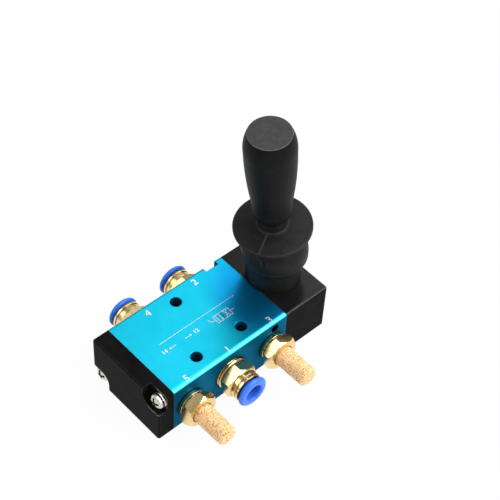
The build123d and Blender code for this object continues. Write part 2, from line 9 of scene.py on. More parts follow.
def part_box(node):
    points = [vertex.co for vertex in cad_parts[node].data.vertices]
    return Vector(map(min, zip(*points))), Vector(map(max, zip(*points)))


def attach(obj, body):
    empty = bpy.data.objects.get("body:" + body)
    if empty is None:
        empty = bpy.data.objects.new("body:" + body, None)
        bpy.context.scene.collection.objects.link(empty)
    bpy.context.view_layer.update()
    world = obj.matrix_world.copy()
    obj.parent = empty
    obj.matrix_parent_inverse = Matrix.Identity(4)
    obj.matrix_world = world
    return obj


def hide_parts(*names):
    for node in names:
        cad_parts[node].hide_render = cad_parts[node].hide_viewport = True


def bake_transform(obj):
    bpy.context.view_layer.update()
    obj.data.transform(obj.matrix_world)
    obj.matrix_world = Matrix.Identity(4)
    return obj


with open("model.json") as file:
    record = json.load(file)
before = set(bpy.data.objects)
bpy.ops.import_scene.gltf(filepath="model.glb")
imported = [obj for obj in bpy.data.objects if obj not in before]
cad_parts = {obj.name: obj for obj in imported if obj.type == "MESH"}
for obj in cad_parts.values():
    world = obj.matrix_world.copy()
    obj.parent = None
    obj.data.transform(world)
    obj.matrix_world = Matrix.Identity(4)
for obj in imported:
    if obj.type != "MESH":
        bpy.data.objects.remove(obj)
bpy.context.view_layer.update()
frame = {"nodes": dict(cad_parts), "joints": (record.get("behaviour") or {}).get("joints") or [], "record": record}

# Sizes are in metres; MM turns a size in millimetres into one
MM = 0.001

# Faces of the valve body, and the lever's pivot and rest tilt, from the frame
body_low, body_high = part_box("valve_body")
TOP = body_high.z
FRONT = body_low.y
BACK = body_high.y
PORT_HEIGHT = (body_low.z + body_high.z) / 2
LEVER_JOINT = next(joint for joint in frame["joints"] if joint["name"] == "lever_tilt")
PIVOT = Vector(LEVER_JOINT["pos_m"])
REST_TILT = math.radians(-LEVER_JOINT["range_deg"][1] / 2)

# Columns round a turned piece, and round one with fine detail
COLUMNS = 96
FINE_COLUMNS = 192

# Points nearer than the first are one point, and edges shorter than the second are dropped
SAME_POINT = 1e-7
NO_EDGE = 1e-8

# Largest share of a side that an eased corner takes up, and the steps along it
MOST_EASE = 0.49
EASE_STEPS = 6


def value_at(value, angle):
    """A radius or height that may depend on the angle."""
    return value(angle) if callable(value) else value


def new_object(name, data):
    """Object of a mesh, curve, lamp or camera, in the scene."""
    piece = bpy.data.objects.new(name, data)
    bpy.context.scene.collection.objects.link(piece)
    return piece


def mesh_of(name, shape):
    """Mesh of a finished shape, which is freed."""
    mesh = bpy.data.meshes.new(name)
    shape.to_mesh(mesh)
    shape.free()
    return mesh


def turned(name, stations, place, columns=COLUMNS, turn=0.0):
    """Piece turned about its own Z from (radius, height) stations, closed from last to first."""
    shape = bmesh.new()
    rings = []
    for radius, height in stations:
        ring = []
        for column in range(columns):
            angle = 2 * math.pi * column / columns
            reach = value_at(radius, angle)
            corner = (reach * math.cos(angle), reach * math.sin(angle), value_at(height, angle))
            ring.append(shape.verts.new(corner))
        rings.append(ring)
    for lower, upper in zip(rings, rings[1:] + rings[:1]):
        for column in range(columns):
            following = (column + 1) % columns
            corners = (lower[column], lower[following], upper[following], upper[column])
            shape.faces.new(corners)
    bmesh.ops.remove_doubles(shape, verts=shape.verts, dist=SAME_POINT)
    bmesh.ops.dissolve_degenerate(shape, edges=shape.edges, dist=NO_EDGE)
    shape.transform(place @ Matrix.Rotation(turn, 4, "Z"))
    bmesh.ops.recalc_face_normals(shape, faces=shape.faces)
    return new_object(name, mesh_of(name, shape))


def rounded(corners):
    """Profile through (radius, height, round) corners, in millimetres, each eased by its round."""
    stations = []
    for index, (radius, height, ease) in enumerate(corners):
        if ease <= 0:
            stations.append((radius * MM, height * MM))
            continue
        here = Vector((radius, height))
        before = Vector(corners[index - 1][:2])
        after = Vector(corners[(index + 1) % len(corners)][:2])
        back = (before - here).normalized()
        ahead = (after - here).normalized()
        start = here + back * min(ease, (before - here).length * MOST_EASE)
        end = here + ahead * min(ease, (after - here).length * MOST_EASE)
        for step in range(EASE_STEPS + 1):
            share = step / EASE_STEPS
            point = start.lerp(here, share).lerp(here.lerp(end, share), share)
            stations.append((point.x * MM, point.y * MM))
    return stations


def arc_through(start, middle, end, steps):
    """Points of the circle's arc through three (radius, height) points, in millimetres."""
    (x1, y1), (x2, y2), (x3, y3) = start, middle, end
    double_area = 2 * (x1 * (y2 - y3) + x2 * (y3 - y1) + x3 * (y1 - y2))
    first, second, third = x1 * x1 + y1 * y1, x2 * x2 + y2 * y2, x3 * x3 + y3 * y3
    centre_x = (first * (y2 - y3) + second * (y3 - y1) + third * (y1 - y2)) / double_area
    centre_y = (first * (x3 - x2) + second * (x1 - x3) + third * (x2 - x1)) / double_area
    reach = math.hypot(x1 - centre_x, y1 - centre_y)
    from_turn = math.atan2(y1 - centre_y, x1 - centre_x)
    to_turn = math.atan2(y3 - centre_y, x3 - centre_x)
    points = []
    for step in range(steps + 1):
        turn = from_turn + (to_turn - from_turn) * step / steps
        points.append((centre_x + reach * math.cos(turn), centre_y + reach * math.sin(turn)))
    return points


def arc_from_upright(start, end, steps=16):
    """Points of an arc that leaves its start along the axis, in millimetres."""
    rise = end[1] - start[1]
    shift = end[0] - start[0]
    reach = (rise * rise + shift * shift) / (2 * shift)
    points = []
    for step in range(steps + 1):
        along = rise * step / steps
        across = math.copysign(math.sqrt(reach * reach - along * along), reach)
        points.append((start[0] + reach - across, start[1] + along))
    return points


def in_metres(points):
    """Profile points in millimetres as stations in metres."""
    return [(radius * MM, height * MM) for radius, height in points]


def smooth(piece, angle):
    """Smooth shading that keeps edges sharper than the angle."""
    mesh = piece.data
    mesh.shade_smooth()
    mesh.set_sharp_from_angle(angle=math.radians(angle))


def soften_edges(piece, width, angle):
    """Narrow bevel on the sharp edges, so that they catch the light."""
    bevel = piece.modifiers.new("edge", "BEVEL")
    bevel.width = width
    bevel.segments = 2
    bevel.limit_method = "ANGLE"
    bevel.angle_limit = math.radians(angle)


def finish_piece(piece, body, slot, *nodes, material=None):
    """Gives a piece a material, else its slot's, and its body and the nodes that it stands for."""
    piece.data.materials.clear()
    piece.data.materials.append(material or MATERIALS[slot])
    if body:
        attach(piece, body)
    if nodes:
        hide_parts(*nodes)


def port_place(x, face):
    """Frame of a piece that is turned about a line out of the front or back face."""
    turn = Matrix.Rotation(math.copysign(math.pi / 2, -face), 4, "X")
    return Matrix.Translation((x * MM, face, PORT_HEIGHT)) @ turn


# Materials: zones of colour, in millimetres, with 0 at a zone's first number and 1 at its second;
# most of them place painted highlights and painted shade
TOP_ZONE = (-0.65, -0.25)
# Painted highlight along the body's front top edge
FRONT_HIGHLIGHT_ZONE = (1.5, 0.7)
ROLL_ZONE = (2.1, 0.9)
# Painted shade along the body's back top edge
BACK_SHADE_ZONE = (-0.40, -0.20)
HOUSING_ZONE = (0.05, 0.15)
# Painted highlight along the lever housing's top front edge
HOUSING_HIGHLIGHT_ZONE = (0.60, 0.40)
# Painted shade of the lever on the body's top, round this spot
LEVER_SHADE_SPOT = (33, -7, 0)
LEVER_SHADE_ZONE = (30, 18)
# Painted shade: the manifold hole round this line is near black
MANIFOLD_HOLE = (20, 0, 18)
MANIFOLD_SHADE_ZONE = (1.66, 1.61)
# Painted highlight on the end cap's edges round its top screw
CAP_SCREW_HIGHLIGHT_ZONE = (5.4, 4.6)

# How far the body's front top edge leans forward, and how much less metallic its sides are
ROLL_LEAN = 0.45
SIDE_METALLIC = 0.55

# Likeness of eased and plain normals, between which edges get a painted highlight, and openness,
# between which crevices get painted shade
EDGE_HIGHLIGHT_LIKENESS = (0.985, 0.88)
CREVICE_SHADE_OPENNESS = (0.38, 0.92)
CREVICE_SHADE_SAMPLES = 6
CREVICE_SHADE_BLACK = (0.010, 0.008, 0.005, 1)

# Part of its range that noise fills, for colours and for levels
COLOUR_NOISE = (0.35, 0.65)
LEVEL_NOISE = (0.3, 0.7)

# Lathe lines: stretch of the noise by the piece's axis, their grain, and their spread of roughness
LATHE_LINES = {"X": (3.0, 0.02, 0.02), "Y": (0.02, 3.0, 0.02)}
LATHE_GRAIN = 0.35
LATHE_ROUGHNESS = 0.05

# Radius of a cap screw's head, in millimetres
HEAD_RADIUS = 2.75


def new_material(name, colour, roughness, metallic=0.0, specular=0.5):
    """Principled material and its node tree, with the surface's coordinates in millimetres."""
    material = bpy.data.materials.new(name)
    material.use_nodes = True
    tree = material.node_tree
    shader = tree.nodes["Principled BSDF"]
    shader.inputs["Base Color"].default_value = (*colour, 1)
    shader.inputs["Roughness"].default_value = roughness
    shader.inputs["Metallic"].default_value = metallic
    shader.inputs["Specular IOR Level"].default_value = specular
    place = tree.nodes.new("ShaderNodeTexCoord")
    scale = tree.nodes.new("ShaderNodeMapping")
    scale.inputs["Scale"].default_value = (1 / MM, 1 / MM, 1 / MM)
    tree.links.new(place.outputs["Object"], scale.inputs["Vector"])
    return material, tree, shader, scale.outputs["Vector"]


def feed(tree, value, socket):
    """Links a socket to another one, or sets it to a fixed value."""
    if isinstance(value, bpy.types.NodeSocket):
        tree.links.new(value, socket)
    else:
        socket.default_value = value


def number_math(tree, operation, first, second):
    """Result of an operation on two numbers."""
    step = tree.nodes.new("ShaderNodeMath")
    step.operation = operation
    feed(tree, first, step.inputs[0])
    feed(tree, second, step.inputs[1])
    return step.outputs["Value"]


def vector_math(tree, operation, *values):
    """Node that does an operation on vectors."""
    step = tree.nodes.new("ShaderNodeVectorMath")
    step.operation = operation
    for socket, value in zip(step.inputs, values):
        feed(tree, value, socket)
    return step


def times(tree, first, second):
    """Product of two numbers."""
    return number_math(tree, "MULTIPLY", first, second)


def mixed(tree, share, low, high):
    """Colour between two colours by a share."""
    mix = tree.nodes.new("ShaderNodeMix")
    mix.data_type = "RGBA"
    tree.links.new(share, mix.inputs["Factor"])
    feed(tree, low, mix.inputs["A"])
    feed(tree, high, mix.inputs["B"])
    return mix.outputs["Result"]


def component(tree, vector, axis):
    """One component of a vector, by its letter."""
    parts = tree.nodes.new("ShaderNodeSeparateXYZ")
    tree.links.new(vector, parts.inputs["Vector"])
    return parts.outputs[axis]


def ranged(tree, value, start, end, low=0.0, high=1.0, steps="LINEAR"):
    """Number that goes from low to high as a value goes from start to end."""
    spread = tree.nodes.new("ShaderNodeMapRange")
    spread.interpolation_type = steps
    spread.inputs["From Min"].default_value = start
    spread.inputs["From Max"].default_value = end
    spread.inputs["To Min"].default_value = low
    spread.inputs["To Max"].default_value = high
    tree.links.new(value, spread.inputs["Value"])
    return spread.outputs["Result"]


def past(tree, value, start, end):
    """0 where a value is before start, 1 where it is past end, and smooth between them."""
    return ranged(tree, value, start, end, steps="SMOOTHSTEP")


def facing_up(tree, start=0.25, end=0.75):
    """Share by how far the surface's own normal looks up, 0 being upright and 1 level."""
    normal = tree.nodes.new("ShaderNodeTexCoord").outputs["Normal"]
    return past(tree, component(tree, normal, "Z"), start, end)


def zone(tree, value, origin, span):
    """Share of a zone whose span in millimetres starts from an origin in metres."""
    return past(tree, value, origin / MM + span[0], origin / MM + span[1])


def edge_band(tree, where, side, span):
    """Share of a band at the block's top edge, along a side face."""
    high = zone(tree, component(tree, where, "Z"), TOP, TOP_ZONE)
    return times(tree, high, zone(tree, component(tree, where, "Y"), side, span))


def near(tree, where, spot, span, axes=(1, 1, 1)):
    """Share by the distance from a spot in millimetres, along the axes that are 1."""
    level = vector_math(tree, "MULTIPLY", where, axes)
    away = vector_math(tree, "DISTANCE", level.outputs["Vector"], spot)
    return past(tree, away.outputs["Value"], *span)


def noise_value(tree, where, grain, stretch=None):
    """Noise whose features are about grain millimetres wide."""
    if stretch:
        squeeze = tree.nodes.new("ShaderNodeMapping")
        squeeze.inputs["Scale"].default_value = stretch
        tree.links.new(where, squeeze.inputs["Vector"])
        where = squeeze.outputs["Vector"]
    texture = tree.nodes.new("ShaderNodeTexNoise")
    texture.inputs["Scale"].default_value = 1 / grain
    texture.inputs["Detail"].default_value = 3.0
    tree.links.new(where, texture.inputs["Vector"])
    return texture.outputs["Fac"]


def colour_ramp(tree, value, low_colour, high_colour, span=COLOUR_NOISE):
    """Ramp from one colour to another by a value."""
    ramp = tree.nodes.new("ShaderNodeValToRGB")
    for element, position, colour in zip(ramp.color_ramp.elements, span, (low_colour, high_colour)):
        element.position = position
        element.color = (*colour, 1)
    tree.links.new(value, ramp.inputs["Fac"])
    return ramp


def tone(tree, value, low_colour, high_colour):
    """Colour that runs from one to another by a value."""
    return colour_ramp(tree, value, low_colour, high_colour).outputs["Color"]


def grey_tone(tree, value, low, high):
    """Grey that runs from one level to another by a value."""
    return tone(tree, value, (low, low, low), (high, high, high))


def set_colour(tree, shader, colour):
    """Makes a colour the surface's own."""
    tree.links.new(colour, shader.inputs["Base Color"])


def roughness_by(tree, shader, value, low, high):
    """Roughness that runs between two levels with a noise."""
    tree.links.new(ranged(tree, value, *LEVEL_NOISE, low, high), shader.inputs["Roughness"])


def bump_by(tree, shader, value, depth):
    """Relief of a depth in millimetres, and its node."""
    relief = tree.nodes.new("ShaderNodeBump")
    relief.inputs["Strength"].default_value = 1.0
    relief.inputs["Distance"].default_value = depth * MM
    tree.links.new(value, relief.inputs["Height"])
    tree.links.new(relief.outputs["Normal"], shader.inputs["Normal"])
    return relief


def eased_normal(tree, width):
    """Normal of a surface whose edges are eased by a width in millimetres."""
    ease = tree.nodes.new("ShaderNodeBevel")
    ease.inputs["Radius"].default_value = width * MM
    return ease.outputs["Normal"]


def lean_forward(tree, normal, share, lean):
    """Normal that looks more to the front where the share is high, as on a soft roll."""
    shift = vector_math(tree, "SCALE", (0, -lean, 0))
    tree.links.new(share, shift.inputs["Scale"])
    total = vector_math(tree, "ADD", normal, shift.outputs["Vector"])
    return vector_math(tree, "NORMALIZE", total.outputs["Vector"]).outputs["Vector"]


def highlit_edges(tree, width):
    """Share of painted highlight: 1 on outer edges and 0 on flat faces, for an edge width in millimetres."""
    plain = tree.nodes.new("ShaderNodeNewGeometry").outputs["Normal"]
    likeness = vector_math(tree, "DOT_PRODUCT", eased_normal(tree, width), plain)
    return past(tree, likeness.outputs["Value"], *EDGE_HIGHLIGHT_LIKENESS)


def painted_crevice_shade(tree, shader, reach):
    """Painted shade: base colour that darkens in grooves and recesses narrower than a reach in millimetres."""
    shade = tree.nodes.new("ShaderNodeAmbientOcclusion")
    shade.samples = CREVICE_SHADE_SAMPLES
    shade.inputs["Distance"].default_value = reach * MM
    former = shader.inputs["Base Color"].links[0].from_socket
    openness = past(tree, shade.outputs["AO"], *CREVICE_SHADE_OPENNESS)
    set_colour(tree, shader, mixed(tree, openness, CREVICE_SHADE_BLACK, former))


def anodised_blue():
    """Dyed aluminium: a light milled top and less metallic upright faces; painted shade darkens the
    upright faces and the back top edge, deepens the blue by the lever and blacks out the manifold
    bore, and a painted highlight lightens the front top edge.
    """
    material, tree, shader, where = new_material(
        "anodised_blue", (0.0, 0.45, 0.7), 0.30, metallic=1.0, specular=0.02)
    shader.inputs["Specular Tint"].default_value = (0.14, 0.60, 0.76, 1)
    cloud = noise_value(tree, where, 9.0)
    # Painted shade: darker upright faces, dark back top edge, deeper blue by the lever, near-black hole; painted
    # highlight: lighter front top edge
    shaded_sides = tone(tree, cloud, (0.002, 0.103, 0.213), (0.004, 0.136, 0.270))
    top = tone(tree, cloud, (0.012, 0.55, 0.76), (0.016, 0.60, 0.82))
    front_highlight = tone(tree, cloud, (0.07, 0.82, 0.92), (0.10, 0.88, 0.96))
    back_shade = tone(tree, cloud, (0.002, 0.030, 0.065), (0.003, 0.040, 0.080))
    lever_shade = tone(tree, cloud, (0.008, 0.34, 0.74), (0.010, 0.38, 0.80))
    hole_shade = tone(tree, cloud, (0.001, 0.004, 0.006), (0.001, 0.006, 0.009))
    upward = facing_up(tree)
    base = mixed(tree, near(tree, where, LEVER_SHADE_SPOT, LEVER_SHADE_ZONE, (1, 1, 0)), top, lever_shade)
    base = mixed(tree, upward, shaded_sides, base)
    base = mixed(tree, edge_band(tree, where, FRONT, FRONT_HIGHLIGHT_ZONE), base, front_highlight)
    base = mixed(tree, edge_band(tree, where, BACK, BACK_SHADE_ZONE), base, back_shade)
    base = mixed(tree, near(tree, where, MANIFOLD_HOLE, MANIFOLD_SHADE_ZONE, (1, 0, 1)), base, hole_shade)
    set_colour(tree, shader, base)
    tree.links.new(ranged(tree, upward, 0, 1, SIDE_METALLIC, 1.0), shader.inputs["Metallic"])
    # Painted shade in grooves and recesses
    painted_crevice_shade(tree, shader, 1.9)
    brushed = noise_value(tree, where, 0.16, (0.06, 1.0, 1.0))
    roughness_by(tree, shader, brushed, 0.37, 0.43)
    relief = bump_by(tree, shader, brushed, 0.0022)
    roll = times(tree, upward, edge_band(tree, where, FRONT, ROLL_ZONE))
    normal = lean_forward(tree, eased_normal(tree, 0.6), roll, ROLL_LEAN)
    tree.links.new(normal, relief.inputs["Normal"])
    return material


def black_casting():
    """Black painted die casting, with painted highlights along its edges, strongest by the top cap screw
    and also along the lever housing's top front edge.
    """
    material, tree, shader, where = new_material(
        "black_casting", (0.01, 0.01, 0.01), 0.40, specular=0.035)
    paint = grey_tone(tree, noise_value(tree, where, 5.0), 0.0060, 0.0088)
    patches = noise_value(tree, where, 0.6)
    # Painted highlights: faint on every edge and along the housing's top front edge, strong by the top cap screw
    faint_edge_highlight = grey_tone(tree, patches, 0.02, 0.06)
    strong_edge_highlight = tone(tree, patches, (0.22, 0.21, 0.21), (0.42, 0.40, 0.40))
    low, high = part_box("end_cap_screws")
    top_screw = (low.x / MM, low.y / MM + HEAD_RADIUS, high.z / MM - HEAD_RADIUS)
    edge_highlight = mixed(tree, near(tree, where, top_screw, CAP_SCREW_HIGHLIGHT_ZONE), faint_edge_highlight, strong_edge_highlight)
    base = mixed(tree, highlit_edges(tree, 0.5), paint, edge_highlight)
    on_housing = zone(tree, component(tree, where, "X"), body_high.x, HOUSING_ZONE)
    housing_highlight = times(tree, edge_band(tree, where, FRONT, HOUSING_HIGHLIGHT_ZONE), on_housing)
    set_colour(tree, shader, mixed(tree, housing_highlight, base, faint_edge_highlight))
    grain = noise_value(tree, where, 0.25)
    roughness_by(tree, shader, grain, 0.16, 0.24)
    gloss = ranged(tree, times(tree, facing_up(tree), on_housing), 0, 1, 0.008, 0.15)
    tree.links.new(gloss, shader.inputs["Specular IOR Level"])
    relief = bump_by(tree, shader, grain, 0.008)
    tree.links.new(eased_normal(tree, 0.2), relief.inputs["Normal"])
    return material


def black_plastic():
    """Moulded handle with a fine, even texture; a painted highlight lightens its upward crown, and more
    so the crown's rounded edge.
    """
    material, tree, shader, where = new_material(
        "black_plastic", (0.008, 0.008, 0.008), 0.4, specular=0.06)
    cloud = noise_value(tree, where, 4.0)
    side = tone(tree, cloud, (0.006, 0.007, 0.007), (0.009, 0.009, 0.009))
    # Painted highlight: the upward crown lighter, and its rounded edge lighter still
    crown = tone(
        tree, noise_value(tree, where, 1.6), (0.050, 0.050, 0.050), (0.062, 0.062, 0.061))
    base = mixed(tree, facing_up(tree, 0.80, 0.95), side, crown)
    rim_highlight = times(tree, facing_up(tree, 0.45, 0.70), facing_up(tree, 0.97, 0.88))
    set_colour(tree, shader, mixed(tree, rim_highlight, base, grey_tone(tree, cloud, 0.10, 0.15)))
    grain = noise_value(tree, where, 0.18)
    roughness_by(tree, shader, grain, 0.42, 0.54)
    bump_by(tree, shader, grain, 0.008)
    return material


def boot_rubber():
    """Soft black rubber, lighter on its raised lines where the mesh's own attribute paints highlights."""
    material, tree, shader, where = new_material(
        "boot_rubber", (0.007, 0.007, 0.007), 0.5, specular=0.10)
    rubber = grey_tone(tree, noise_value(tree, where, 3.0), 0.0105, 0.0155)
    painted_highlight = tone(tree, noise_value(tree, where, 1.2), (0.040, 0.041, 0.041), (0.070, 0.071, 0.071))
    share = tree.nodes.new("ShaderNodeAttribute")
    share.attribute_name = "painted_highlight"
    set_colour(tree, shader, mixed(tree, share.outputs["Fac"], rubber, painted_highlight))
    grain = noise_value(tree, where, 0.3)
    roughness_by(tree, shader, grain, 0.42, 0.56)
    bump_by(tree, shader, grain, 0.010)
    return material


def turned_metal(name, dark, light, roughness, axis="Y"):
    """Metal with the fine rings that a lathe leaves round the piece's own axis, and painted shade in its
    grooves and recesses.
    """
    material, tree, shader, where = new_material(name, light, roughness, metallic=1.0)
    set_colour(tree, shader, tone(tree, noise_value(tree, where, 2.5), dark, light))
    rings = noise_value(tree, where, LATHE_GRAIN, LATHE_LINES[axis])
    roughness_by(tree, shader, rings, roughness - LATHE_ROUGHNESS, roughness + LATHE_ROUGHNESS)
    bump_by(tree, shader, rings, 0.004)
    # Painted shade in grooves and recesses
    painted_crevice_shade(tree, shader, 0.9)
    return material


def sintered_bronze():
    """Bronze grains pressed together: sandy, with brown specks and pores."""
    material, tree, shader, where = new_material(
        "sintered_bronze", (0.9, 0.6, 0.3), 0.55, specular=0.3)
    cells = tree.nodes.new("ShaderNodeTexVoronoi")
    cells.inputs["Scale"].default_value = 1 / 0.33
    tree.links.new(where, cells.inputs["Vector"])
    speck = tree.nodes.new("ShaderNodeSeparateColor")
    tree.links.new(cells.outputs["Color"], speck.inputs["Color"])
    ramp = colour_ramp(
        tree, speck.outputs["Red"], (0.36, 0.17, 0.06), (1.0, 0.82, 0.52), (0.0, 1.0))
    between = [(0.12, (0.62, 0.32, 0.13)), (0.28, (0.97, 0.58, 0.25)), (0.75, (1.0, 0.67, 0.33))]
    for position, colour in between:
        ramp.color_ramp.elements.new(position).color = (*colour, 1)
    set_colour(tree, shader, ramp.outputs["Color"])
    bump_by(tree, shader, cells.outputs["Distance"], -0.08)
    return material


def blue_plastic():
    """Glossy moulded blue."""
    material, tree, shader, where = new_material(
        "blue_plastic", (0.05, 0.20, 0.86), 0.28, specular=0.30)
    cloud = noise_value(tree, where, 2.0)
    set_colour(tree, shader, tone(tree, cloud, (0.045, 0.19, 0.84), (0.058, 0.215, 0.90)))
    grain = noise_value(tree, where, 0.2)
    roughness_by(tree, shader, grain, 0.22, 0.34)
    bump_by(tree, shader, grain, 0.004)
    shader.inputs["Subsurface Weight"].default_value = 0.08
    shader.inputs["Subsurface Radius"].default_value = (0.2 * MM, 0.4 * MM, 1.2 * MM)
    return material


def seal_rubber():
    """Black rubber of the inner seals."""
    material, tree, shader, where = new_material("seal_rubber", (0.012, 0.012, 0.012), 0.45)
    grain = noise_value(tree, where, 0.5)
    set_colour(tree, shader, grey_tone(tree, grain, 0.010, 0.016))
    roughness_by(tree, shader, grain, 0.40, 0.52)
    return material


def etched_white():
    """Light marks etched through the dye to the bare metal."""
    material, tree, shader, where = new_material(
        "etched_white", (0.9, 0.96, 0.98), 0.5, metallic=1.0)
    grain = noise_value(tree, where, 0.15)
    set_colour(tree, shader, tone(tree, grain, (0.80, 0.92, 0.95), (0.92, 0.98, 1.0)))
    roughness_by(tree, shader, grain, 0.45, 0.6)
    return material


MATERIALS = {
    "anodised_body": anodised_blue(),
    "black_housing": black_casting(),
    "black_plastic": black_plastic(),
    "boot_rubber": boot_rubber(),
    "seal_rubber": seal_rubber(),
    "nickel_steel": turned_metal(
        "nickel_steel", (0.64, 0.60, 0.54), (0.74, 0.70, 0.63), 0.32, "X"),
    "bright_steel": turned_metal(
        "bright_steel", (0.50, 0.50, 0.50), (0.62, 0.62, 0.62), 0.28),
    "black_steel": turned_metal(
        "black_steel", (0.03, 0.03, 0.03), (0.05, 0.05, 0.05), 0.40),
    "spool_aluminium": turned_metal(
        "spool_aluminium", (0.62, 0.62, 0.64), (0.72, 0.72, 0.74), 0.30),
    "brass": turned_metal("brass", (0.86, 0.62, 0.27), (0.95, 0.74, 0.38), 0.20),
    "sintered_bronze": sintered_bronze(),
    "blue_plastic": blue_plastic(),
}
ETCHED = etched_white()


def dress_nodes():
    """Gives every carried-over piece the material of its slot, and smooth shading on its curves."""
    slots = {entry["node"]: entry["material_slot"] for entry in frame["record"]["subparts"]}
    for name, node in frame["nodes"].items():
        node.data.materials.clear()
        node.data.materials.append(MATERIALS[slots[name]])
        for face in node.data.polygons:
            face.material_index = 0
        smooth(node, 32)


# Knob: radii and heights above the pivot, in millimetres, and steps along its arcs
KNOB_BASE = (4.9, 27.6)
KNOB_HEEL = (6.4, 29.8)
KNOB_WAIST = (6.85, 32.0)
KNOB_TURN = (7.256, 37.7)
KNOB_CROWN = (8.88, 60.5)
KNOB_SHOULDER = (8.5, 65.5)
KNOB_TOP = (7.4, 68.7)
KNOB_TOP_EASE = 0.35
HEEL_STEPS = 10
HOLLOW_STEPS = 8
SHOULDER_STEPS = 16


def knob_profile():
    """Heel, hollow, swell, shoulder and flat crown, in millimetres."""
    heel = arc_through(KNOB_BASE, KNOB_HEEL, KNOB_WAIST, HEEL_STEPS)
    hollow = arc_from_upright(KNOB_WAIST, KNOB_TURN, HOLLOW_STEPS)
    swell = arc_from_upright(KNOB_CROWN, KNOB_TURN)[::-1]
    shoulder = arc_through(KNOB_CROWN, KNOB_SHOULDER, KNOB_TOP, SHOULDER_STEPS)
    edge_corners = [shoulder[-2] + (0,), (*KNOB_TOP, KNOB_TOP_EASE), (0, KNOB_TOP[1], 0)]
    crown_edge = [(radius / MM, height / MM) for radius, height in rounded(edge_corners)[1:]]
    return [(0, KNOB_BASE[1])] + heel + hollow[1:] + swell[1:] + shoulder[1:-2] + crown_edge


def make_knob():
    """Waisted handle with a flat crown."""
    place = Matrix.Translation(PIVOT) @ Matrix.Rotation(REST_TILT, 4, "Y")
    knob = turned("handle", in_metres(knob_profile()), place)
    smooth(knob, 40)
    finish_piece(knob, "lever", "black_plastic", "handle_knob")


# Boot: radii and heights above the top face, in millimetres, before the lever's tilt bends it
BOOT_BEND_START = 7.7
BOOT_BEND_END = 20.0
BOOT_BASE = 9.9
SKIRT_START = 4
SKIRT_STEPS = 6
BOOT_BULGE = (11.8, 12.6)
BULGE_STEPS = 80
BOOT_WAIST = (9.6, 20.0)
BRIM_EDGE = 13.8
BRIM_LOW = 25.2
BRIM_TOP = 26.6
RING = (5.4, 27.7)
NECK = 5.1
NECK_TOP = 31.3
BOOT_COLUMNS = 480

# Seam across the brim, moulding ridge round the bulge, ribs round the neck and waves of the skin
SEAM_ANGLE = math.radians(-154)
SEAM_HEIGHT = 0.42
SEAM_WIDTH = 0.32
SEAM_LOW = 25.9
RIDGE_HEIGHT = 10.7
RIDGE_WIDTH = 0.22
RIDGE_DEPTH = 0.26
NECK_RIBS = 24
NECK_RIB_DEPTH = 0.22
WAVE_DEPTH = 0.10
WAVE_GRAIN = 1.3
WAVE_RISE = 0.12

# The skin lies outside this radius, and its folds between these heights
SKIN_RADIUS = 8.9
FOLDS_LOW = 8
FOLDS_HIGH = 23

# Creases of the folded rubber: places as (degrees, height), then depth and width in millimetres
CREASES = [
    ([(190, 21.0), (196, 20.6), (203, 19.6), (208, 18.4), (210, 17.0)], -0.60, 0.24),
    ([(190, 19.9), (200, 19.0), (206, 17.4)], 0.26, 0.36),
    ([(203, 20.2), (213, 18.6), (214, 16.8)], 0.16, 0.60),
    ([(178, 19.9), (185, 19.8), (192, 19.7)], -0.40, 0.24),
    ([(176, 18.9), (190, 19.1)], 0.16, 0.40),
    ([(197, 13.4), (206, 12.9), (212, 12.9)], -0.14, 0.45),
    ([(243, 17.6), (272, 13.2)], -0.16, 1.5),
    ([(278, 19.0), (300, 14.5)], 0.20, 1.3),
]

# Painted highlight on each kind of line: its share, and the half width of its strip in millimetres
SEAM_HIGHLIGHT = 0.34
BRIM_HIGHLIGHT = (0.38, 0.30)
RING_HIGHLIGHT = (0.36, 0.40)
RIDGE_HIGHLIGHT = (0.34, 0.16)
CREASE_HIGHLIGHT = (0.38, 0.22)

# Where the painted highlight lies: in from the brim's edge and down from its top, off the ring's
# foot, and above the ridge, in millimetres
BRIM_HIGHLIGHT_INSET = 0.10
BRIM_HIGHLIGHT_DROP = 0.35
RING_HIGHLIGHT_SHIFT = (0.1, 0.45)
RIDGE_HIGHLIGHT_RISE = 0.12

# The first creases have a painted highlight beside them, shifted by (degrees, millimetres)
HIGHLIT_CREASES = 2
CREASE_HIGHLIGHT_SHIFT = (-2.2, 0.25)


def boot_profile():
    """Outside from the foot to the neck, then the inside back down."""
    foot = rounded([
        (BOOT_BASE - 0.6, 0, 0), (BOOT_BASE + 0.05, 0, 0.3), (BOOT_BASE, SKIRT_START, 0)])
    rise = BOOT_BEND_START - SKIRT_START
    skirt = [(BOOT_BASE, SKIRT_START + rise * step / SKIRT_STEPS) for step in range(1, SKIRT_STEPS)]
    bulge = arc_through((BOOT_BASE, BOOT_BEND_START), BOOT_BULGE, BOOT_WAIST, BULGE_STEPS)
    ring_radius, ring_height = RING
    brim = rounded([
        (*BOOT_WAIST, 0), (9.7, 23.6, 1.2), (BRIM_EDGE, BRIM_LOW, 0.45),
        (BRIM_EDGE + 0.03, BRIM_TOP, 0.45), (ring_radius + 0.5, ring_height - 0.2, 0.4),
        (ring_radius + 0.1, ring_height + 0.35, 0.25), (ring_radius - 0.25, ring_height + 0.6, 0.2),
        (NECK, ring_height + 0.45, 0.15), (NECK, NECK_TOP, 0.3), (3.3, NECK_TOP, 0.1),
        (3.15, BRIM_LOW + 0.6, 0.3), (8.1, BRIM_LOW - 1.2, 1.0), (8.1, BOOT_WAIST[1], 1.0),
        (10.2, 13.0, 3.0), (8.45, 8.2, 0.5), (8.45, 0, 0.1),
    ])
    return foot[:-1] + in_metres(skirt + bulge) + brim[1:]


def boot_bend(height):
    """Share of the lever's tilt at a height above the top face."""
    share = (height - BOOT_BEND_START * MM) / ((BOOT_BEND_END - BOOT_BEND_START) * MM)
    share = min(max(share, 0), 1)
    return share * share * (3 - 2 * share)


